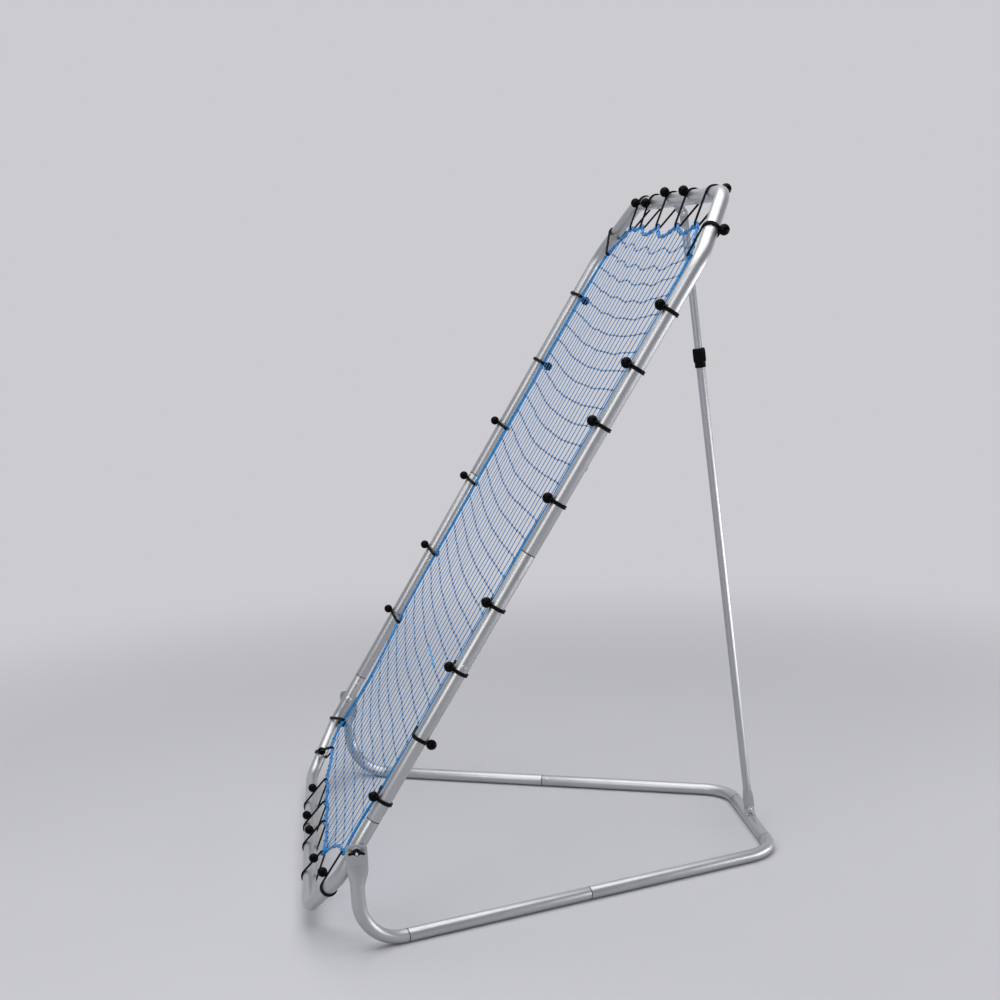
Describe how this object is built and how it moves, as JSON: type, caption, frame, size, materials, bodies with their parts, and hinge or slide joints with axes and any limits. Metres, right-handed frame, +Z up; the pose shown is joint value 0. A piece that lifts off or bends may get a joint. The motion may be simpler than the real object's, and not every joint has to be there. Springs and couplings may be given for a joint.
{
  "type": "pitch back rebounder",
  "caption": "Tubular floor base with a tilting upright frame that carries a square-mesh rebound net on elastic ball loops, propped behind by a telescopic strut.",
  "frame": {"origin": "on the floor under the middle of the whole part", "axes": "+X along the pivot line to the right side as seen from behind the net, +Y from the net towards the strut and the rear bar, +Z up"},
  "size_m": [1.5772, 1.4028, 1.8719],
  "materials": {
    "steel_tube": "satin silver-grey coating on steel tube",
    "zinc_hardware": "bright zinc-plated hardware",
    "net_cord": "knotted polyethylene twine, sky blue with darker knots",
    "edge_cord": "braided royal-blue edge rope",
    "elastic_cord": "black covered elastic cord",
    "ball_plastic": "glossy black moulded balls",
    "black_plastic": "black moulded plastic"
  },
  "bodies": {
    "base": {"base_neck_right": "steel_tube", "base_neck_left": "steel_tube", "base_rail_front_right": "steel_tube", "base_rail_front_left": "steel_tube", "base_rail_rear_right": "steel_tube", "base_rail_rear_left": "steel_tube", "base_rear_bar": "steel_tube", "pivot_bolt_right": "zinc_hardware", "pivot_bolt_left": "zinc_hardware", "pivot_spacers": "black_plastic", "pivot_washers": "zinc_hardware", "strut_foot_bracket": "zinc_hardware", "strut_foot_bolt": "zinc_hardware"},
    "net_frame": {"frame_bottom_bend": "steel_tube", "frame_side_right": "steel_tube", "frame_side_left": "steel_tube", "frame_top_bend": "steel_tube", "frame_rivets": "zinc_hardware", "edge_rope": "edge_cord", "elastic_loops_right": "elastic_cord", "elastic_loops_left": "elastic_cord", "elastic_loops_top": "elastic_cord", "elastic_loops_bottom": "elastic_cord", "loop_balls_right": "ball_plastic", "loop_balls_left": "ball_plastic", "loop_balls_top": "ball_plastic", "loop_balls_bottom": "ball_plastic", "net": "net_cord", "strut_head_bracket": "zinc_hardware", "strut_head_pin": "zinc_hardware"},
    "strut_lower": {"strut_lower_tube": "steel_tube"},
    "strut_upper": {"strut_upper_tube": "steel_tube"},
    "collar": {"twist_collar": "black_plastic"},
    "wing_nut_right": {"wing_nut_right": "black_plastic"},
    "wing_nut_left": {"wing_nut_left": "black_plastic"},
    "frame_button_right": {"frame_button_right": "zinc_hardware"},
    "frame_button_left": {"frame_button_left": "zinc_hardware"},
    "rail_button_right": {"rail_button_right": "zinc_hardware"},
    "rail_button_left": {"rail_button_left": "zinc_hardware"}
  },
  "joints": [
    {"name": "frame_tilt", "type": "hinge", "parent": "base", "child": "net_frame", "pos_m": [0, -0.53849, 0.28165], "axis": [1, 0, 0], "range_deg": [-8, 10]},
    {"name": "strut_swing", "type": "hinge", "parent": "base", "child": "strut_lower", "pos_m": [0, 0.67921, 0.05], "axis": [1, 0, 0], "range_deg": [-6.3, 7.9]},
    {"name": "strut_slide", "type": "slide", "parent": "strut_lower", "child": "strut_upper", "axis": [0, -0.1205, 0.9927], "range_m": [-0.165, 0.206]},
    {"name": "collar_twist", "type": "hinge", "parent": "strut_lower", "child": "collar", "pos_m": [0, 0.67921, 0.05], "axis": [0, -0.1205, 0.9927], "range_deg": [0, 90]},
    {"name": "wing_nut_right_spin", "type": "hinge", "parent": "base", "child": "wing_nut_right", "pos_m": [0.77, -0.53849, 0.28165], "axis": [1, 0, 0], "continuous": true},
    {"name": "wing_nut_left_spin", "type": "hinge", "parent": "base", "child": "wing_nut_left", "pos_m": [-0.77, -0.53849, 0.28165], "axis": [1, 0, 0], "continuous": true},
    {"name": "frame_button_right_press", "type": "slide", "parent": "net_frame", "child": "frame_button_right", "axis": [1, 0, 0], "range_m": [0, 0.0045], "stiffness_N_per_m": 600, "springref_m": -0.003},
    {"name": "frame_button_left_press", "type": "slide", "parent": "net_frame", "child": "frame_button_left", "axis": [-1, 0, 0], "range_m": [0, 0.0045], "stiffness_N_per_m": 600, "springref_m": -0.003},
    {"name": "rail_button_right_press", "type": "slide", "parent": "base", "child": "rail_button_right", "axis": [0.8074, 0.3132, -0.5], "range_m": [0, 0.0045], "stiffness_N_per_m": 600, "springref_m": -0.003},
    {"name": "rail_button_left_press", "type": "slide", "parent": "base", "child": "rail_button_left", "axis": [-0.8074, 0.3132, -0.5], "range_m": [0, 0.0045], "stiffness_N_per_m": 600, "springref_m": -0.003}
  ],
  "couplings": [
    {"joint": "strut_swing", "follows": "frame_tilt", "ratio": 0.7795},
    {"joint": "strut_slide", "follows": "frame_tilt", "m_per_rad": 1.1725}
  ]
}
